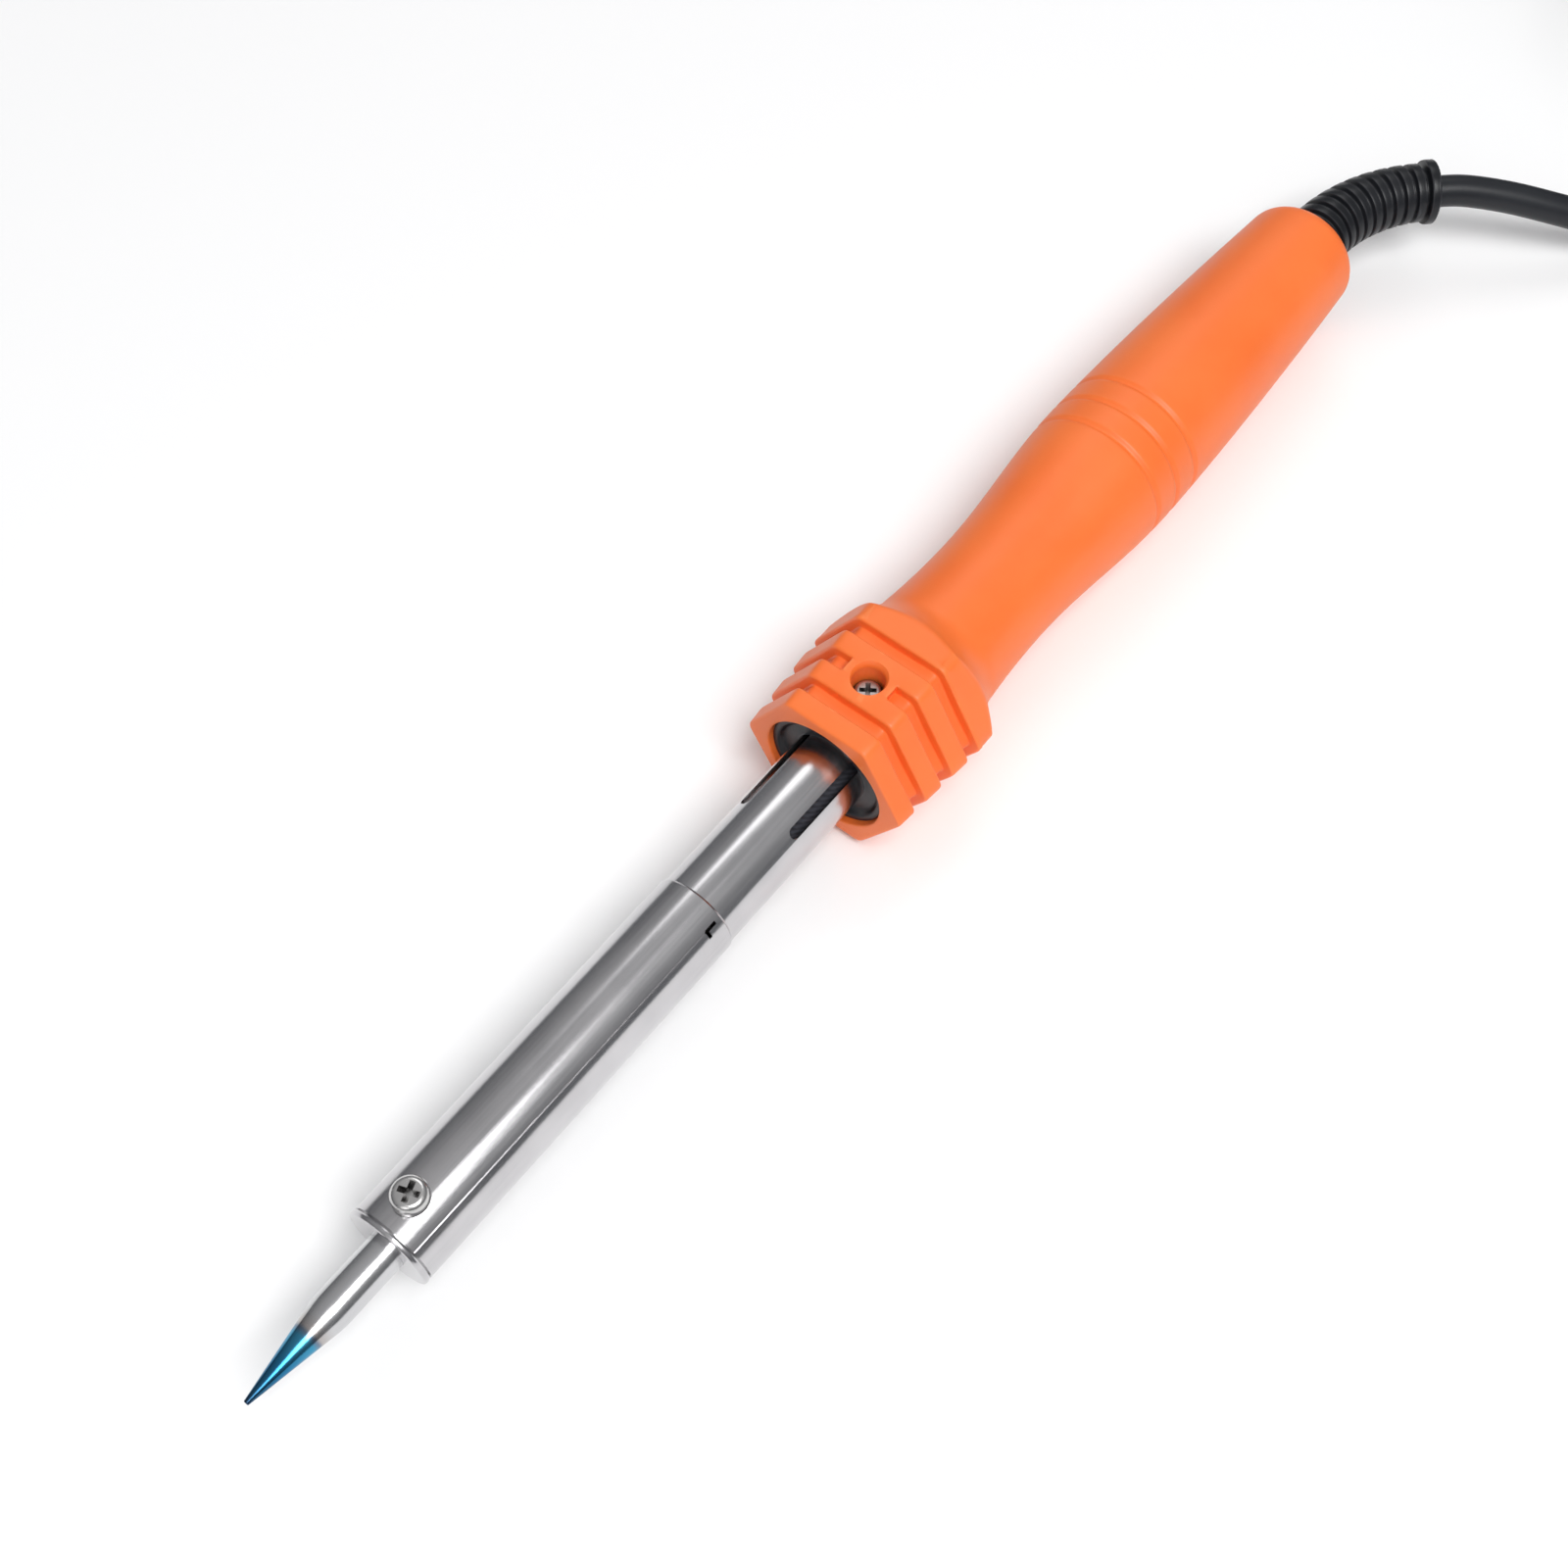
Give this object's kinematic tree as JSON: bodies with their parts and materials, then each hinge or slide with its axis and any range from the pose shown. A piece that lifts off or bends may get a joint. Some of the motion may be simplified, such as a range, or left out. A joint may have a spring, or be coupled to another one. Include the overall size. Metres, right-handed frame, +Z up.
{
  "type": "soldering iron",
  "caption": "Pencil-type soldering iron with a stepped steel barrel, a conical tip held by a side screw, a hexagonal ribbed collar, a waisted handle and a coiled mains cord with a flat plug.",
  "frame": {"origin": "on the table, under the middle of the iron's length from tip to rear end of the handle, cord left out", "axes": "+X from the tip to the rear end of the handle; +Z up, square to the flat of the collar that the iron rests on; +Y to the left of someone who looks from the tip to the handle"},
  "size_m": [0.4547, 0.0704, 0.0492],
  "materials": {
    "tip_steel": "plated steel, the front of the cone heat-blued",
    "screw_steel": "bright plated",
    "barrel_steel": "bright, drawn lengthwise",
    "inner_steel": "dull",
    "mica": "satin",
    "resistance_wire": "dull oxide",
    "glass_fibre": "woven",
    "ceramic": "unglazed",
    "black_bushing": "moulded, slightly glossy",
    "orange_handle": "fine satin",
    "brass": "turned",
    "live_insulation": "satin",
    "neutral_insulation": "satin",
    "cord_rubber": "satin",
    "relief_rubber": "satin",
    "plug_plastic": "fine spark texture",
    "pin_metal": "nickel plated"
  },
  "bodies": {
    "iron": {"front_cap": "barrel_steel", "barrel": "barrel_steel", "heater_core": "inner_steel", "inner_mica": "mica", "heater_winding": "resistance_wire", "outer_mica": "mica", "packing_sleeve": "glass_fibre", "rear_disc": "ceramic", "heater_leads": "resistance_wire", "lead_sleeves": "glass_fibre", "barrel_bushing": "black_bushing", "handle": "orange_handle", "clamp_screw": "screw_steel", "terminal_block": "ceramic", "terminal_tubes": "brass", "terminal_screws": "brass", "live_wire": "live_insulation", "neutral_wire": "neutral_insulation", "inner_cord": "cord_rubber", "cord_crimp": "inner_steel", "strain_relief": "relief_rubber", "cord_tube": "cord_rubber", "cord_coil": "cord_rubber", "cord_end": "cord_rubber", "coil_tie": "relief_rubber", "plug_body": "plug_plastic", "plug_pins": "pin_metal"},
    "tip": {"soldering_tip": "tip_steel"},
    "tip_screw": {"tip_screw": "screw_steel"}
  },
  "joints": [
    {"name": "tip_slide", "type": "slide", "parent": "iron", "child": "tip", "axis": [-1, 0, 0], "range_m": [0, 0.055]},
    {"name": "tip_screw_slide", "type": "slide", "parent": "iron", "child": "tip_screw", "axis": [0, 0, 1], "range_m": [0, 0.0025]}
  ]
}
